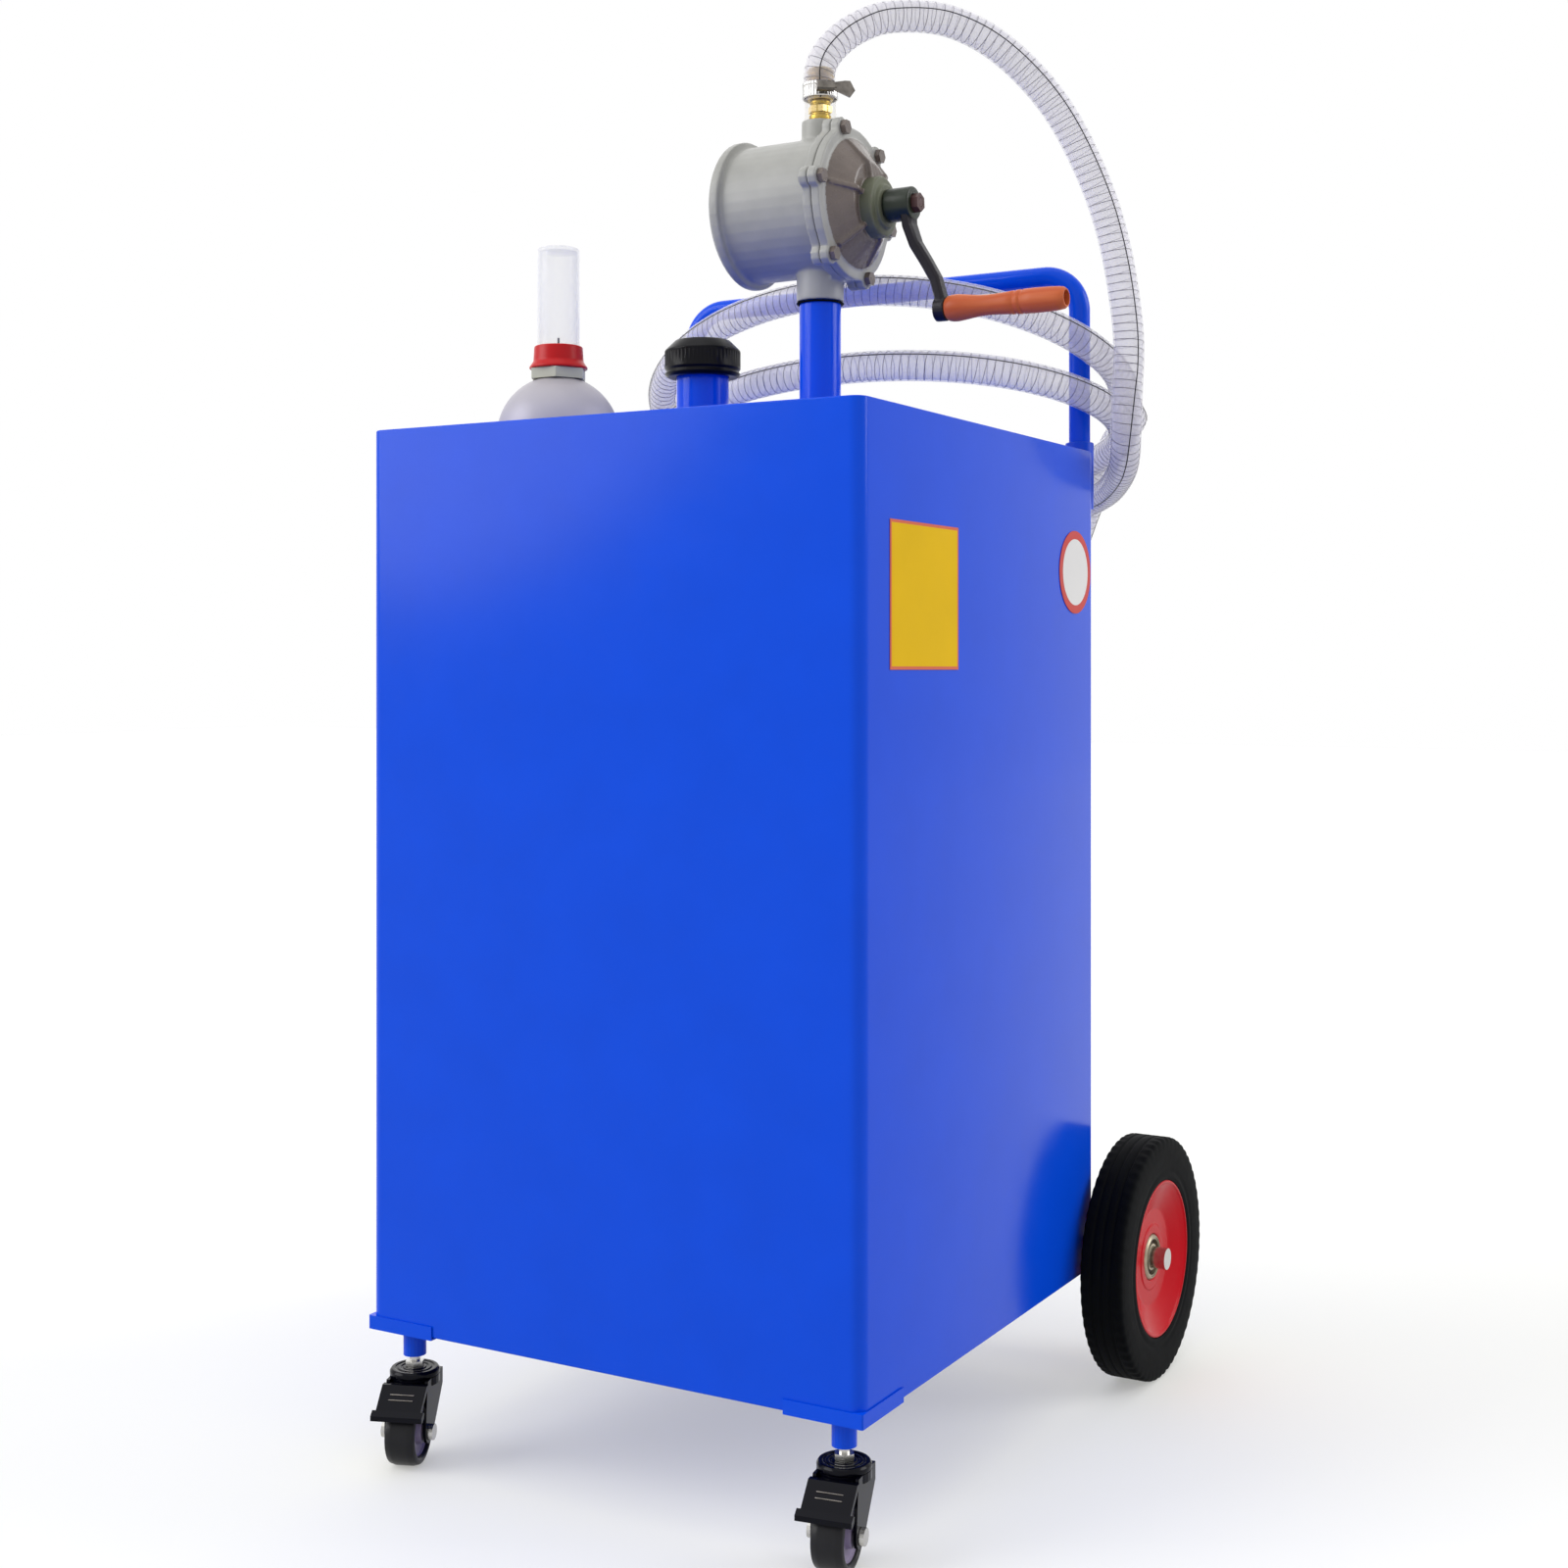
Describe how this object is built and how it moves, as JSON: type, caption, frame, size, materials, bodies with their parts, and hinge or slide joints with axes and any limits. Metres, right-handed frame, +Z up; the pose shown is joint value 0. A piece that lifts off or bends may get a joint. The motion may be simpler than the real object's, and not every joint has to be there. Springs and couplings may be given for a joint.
{
  "type": "rolling fuel caddy",
  "caption": "Upright sheet-metal fuel tank on casters and rear wheels, with hand-cranked rotary pump, clear coiled hose, filler cap, float gauge and push handle.",
  "frame": {"origin": "on the floor, under the middle of the bounding box without the hose", "axes": "+Z up, -Y the tank's front face, +X the side the crank points to"},
  "size_m": [0.5166, 0.6532, 1.148],
  "materials": {
    "blue_paint": "smooth gloss blue",
    "blue_paint_dark": "smooth gloss blue, in shade",
    "black_plastic": "satin black",
    "silver_paint": "silver-grey",
    "beige_plastic": "pale olive beige",
    "red_plastic": "red",
    "clear_plastic": "clear",
    "grey_casting": "grey painted casting",
    "steel": "plated",
    "dark_steel": "black",
    "brass": "machined",
    "orange_wood": "orange lacquer",
    "hose_vinyl": "clear vinyl with a steel helix in it",
    "black_rubber": "moulded tread",
    "red_paint": "gloss red",
    "yellow_film": "printed film, blank",
    "white_film": "printed film, blank",
    "grey_rubber": "dark grey"
  },
  "bodies": {
    "caddy": {"tank_wrap": "blue_paint", "tank_top": "blue_paint", "tank_bottom": "blue_paint_dark", "filler_neck": "blue_paint", "gauge_dome": "silver_paint", "gauge_nut": "beige_plastic", "gauge_collar": "red_plastic", "sight_tube": "clear_plastic", "pump_riser": "blue_paint", "pump_case": "grey_casting", "pump_cover": "grey_casting", "cover_bolt_1": "grey_casting", "cover_bolt_2": "grey_casting", "cover_bolt_3": "grey_casting", "cover_bolt_4": "grey_casting", "cover_bolt_5": "grey_casting", "cover_bolt_6": "grey_casting", "outlet_barb": "brass", "outlet_clamp_band": "steel", "outlet_clamp_screw": "steel", "hose_arc": "hose_vinyl", "hose_coil": "hose_vinyl", "hose_tail": "hose_vinyl", "discharge_spout": "silver_paint", "push_handle": "blue_paint", "handle_socket_left": "blue_paint_dark", "handle_socket_right": "blue_paint_dark", "corner_mount_left": "blue_paint", "corner_mount_right": "blue_paint", "caster_left_race": "dark_steel", "caster_left_stud": "steel", "caster_right_race": "dark_steel", "caster_right_stud": "steel", "rear_axle": "steel", "axle_bracket_left": "blue_paint", "axle_bracket_right": "blue_paint", "panel_sticker": "yellow_film", "round_sticker": "white_film"},
    "filler_cap": {"filler_cap": "black_plastic"},
    "gauge_float": {"gauge_float": "dark_steel"},
    "crank": {"pump_shaft": "steel", "crank_arm": "dark_steel", "crank_nut": "steel", "grip_pin": "steel"},
    "crank_grip": {"crank_grip": "orange_wood"},
    "rear_wheel_left": {"tyre_left": "black_rubber", "rim_left": "red_paint", "hub_left": "steel"},
    "rear_wheel_right": {"tyre_right": "black_rubber", "rim_right": "red_paint", "hub_right": "steel"},
    "caster_left_swivel": {"caster_left_fork": "dark_steel", "caster_left_axle": "steel"},
    "caster_left_wheel": {"caster_left_wheel": "grey_rubber"},
    "caster_left_brake": {"caster_left_brake": "black_plastic"},
    "caster_right_swivel": {"caster_right_fork": "dark_steel", "caster_right_axle": "steel"},
    "caster_right_wheel": {"caster_right_wheel": "grey_rubber"},
    "caster_right_brake": {"caster_right_brake": "black_plastic"}
  },
  "joints": [
    {"name": "filler_cap_turn", "type": "hinge", "parent": "caddy", "child": "filler_cap", "pos_m": [-0.06996, -0.02333, 0.865], "axis": [0, 0, 1], "range_deg": [0, 90]},
    {"name": "gauge_float_slide", "type": "slide", "parent": "caddy", "child": "gauge_float", "axis": [0, 0, 1], "range_m": [0, 0.06]},
    {"name": "pump_crank_turn", "type": "hinge", "parent": "caddy", "child": "crank", "pos_m": [0.1115, -0.0384, 0.97], "axis": [1, 0, 0], "continuous": true},
    {"name": "crank_grip_spin", "type": "hinge", "parent": "crank", "child": "crank_grip", "pos_m": [0.2, -0.02962, 0.88646], "axis": [1, 0, 0], "continuous": true},
    {"name": "caster_left_swivel_turn", "type": "hinge", "parent": "caddy", "child": "caster_left_swivel", "pos_m": [-0.187, -0.2534, 0.06], "axis": [0, 0, 1], "continuous": true},
    {"name": "caster_left_wheel_turn", "type": "hinge", "parent": "caster_left_swivel", "child": "caster_left_wheel", "pos_m": [-0.18198, -0.26647, 0.025], "axis": [0.9336, 0.3584, 0], "continuous": true},
    {"name": "caster_left_brake_press", "type": "hinge", "parent": "caster_left_swivel", "child": "caster_left_brake", "pos_m": [-0.1793, -0.27347, 0.0603], "axis": [0.9336, 0.3584, 0], "range_deg": [0, 11]},
    {"name": "caster_right_swivel_turn", "type": "hinge", "parent": "caddy", "child": "caster_right_swivel", "pos_m": [0.187, -0.2534, 0.06], "axis": [0, 0, 1], "continuous": true},
    {"name": "caster_right_wheel_turn", "type": "hinge", "parent": "caster_right_swivel", "child": "caster_right_wheel", "pos_m": [0.18919, -0.26723, 0.025], "axis": [0.9877, 0.1564, 0], "continuous": true},
    {"name": "caster_right_brake_press", "type": "hinge", "parent": "caster_right_swivel", "child": "caster_right_brake", "pos_m": [0.19036, -0.27464, 0.0603], "axis": [0.9877, 0.1564, 0], "range_deg": [0, 11]},
    {"name": "rear_wheel_left_turn", "type": "hinge", "parent": "caddy", "child": "rear_wheel_left", "pos_m": [-0.236, 0.1996, 0.1016], "axis": [1, 0, 0], "continuous": true},
    {"name": "rear_wheel_right_turn", "type": "hinge", "parent": "caddy", "child": "rear_wheel_right", "pos_m": [0.236, 0.1996, 0.1016], "axis": [1, 0, 0], "continuous": true}
  ]
}
